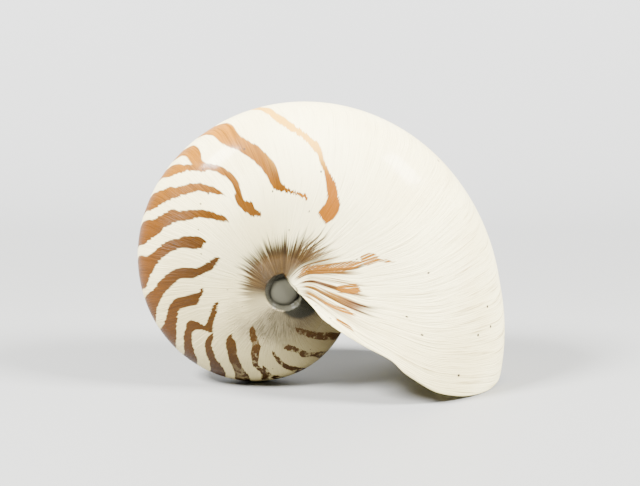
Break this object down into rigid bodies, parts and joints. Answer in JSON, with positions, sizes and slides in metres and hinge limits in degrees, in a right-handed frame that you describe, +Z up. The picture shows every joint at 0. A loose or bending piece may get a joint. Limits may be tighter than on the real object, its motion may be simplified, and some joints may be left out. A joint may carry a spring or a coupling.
{
  "type": "nautilus shell",
  "caption": "Whole chambered nautilus shell, tightly coiled, with flame stripes on the older part, a callus over the umbilicus and an open body chamber it stands on.",
  "frame": {"origin": "middle of the bottom of the bounding box, on the surface the shell stands on", "axes": "+X towards the aperture's outer lip, +Y along the coil's axis, +Z up"},
  "size_m": [0.1616, 0.0826, 0.1235],
  "materials": {
    "shell": "satin cream porcelain-like shell wall, orange to brown flame stripes, nacre inside"
  },
  "bodies": {
    "root": {"nautilus_shell": "shell"}
  },
  "joints": []
}
